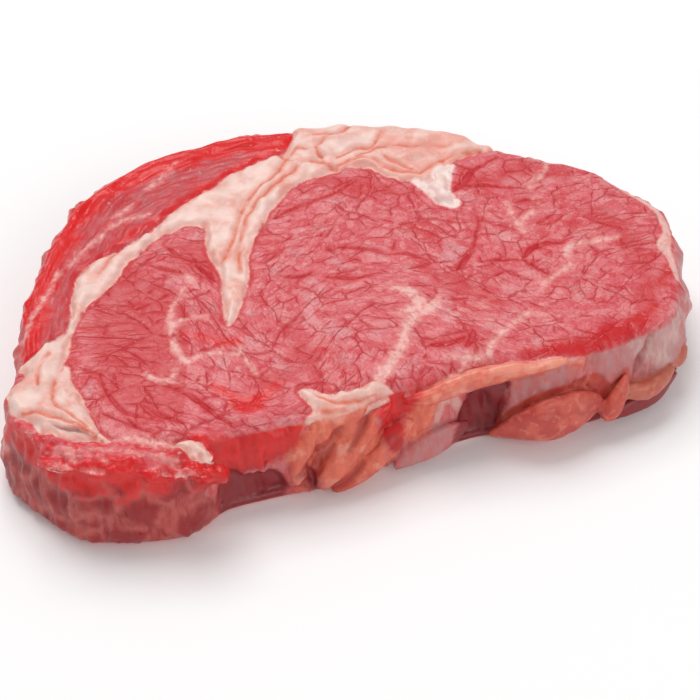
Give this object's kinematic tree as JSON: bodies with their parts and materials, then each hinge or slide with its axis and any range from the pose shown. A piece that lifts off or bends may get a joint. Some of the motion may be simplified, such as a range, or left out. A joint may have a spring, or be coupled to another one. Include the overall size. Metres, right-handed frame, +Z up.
{
  "type": "raw ribeye steak",
  "caption": "Raw boneless beef ribeye, cut thick and lying flat, with a round lean eye, a curved cap, seams of fat and a small tail lobe.",
  "frame": {"origin": "centre of the footprint's box, on the cut face that the steak lies on", "axes": "+X along the steak, from the cap's side to the round end of the eye; +Y towards the fat at the back; +Z up"},
  "size_m": [0.175, 0.135, 0.0277],
  "materials": {
    "lean_meat": "moist, softly uneven gloss",
    "fat": "waxy, moist"
  },
  "bodies": {
    "root": {"steak": "lean_meat"}
  },
  "joints": []
}
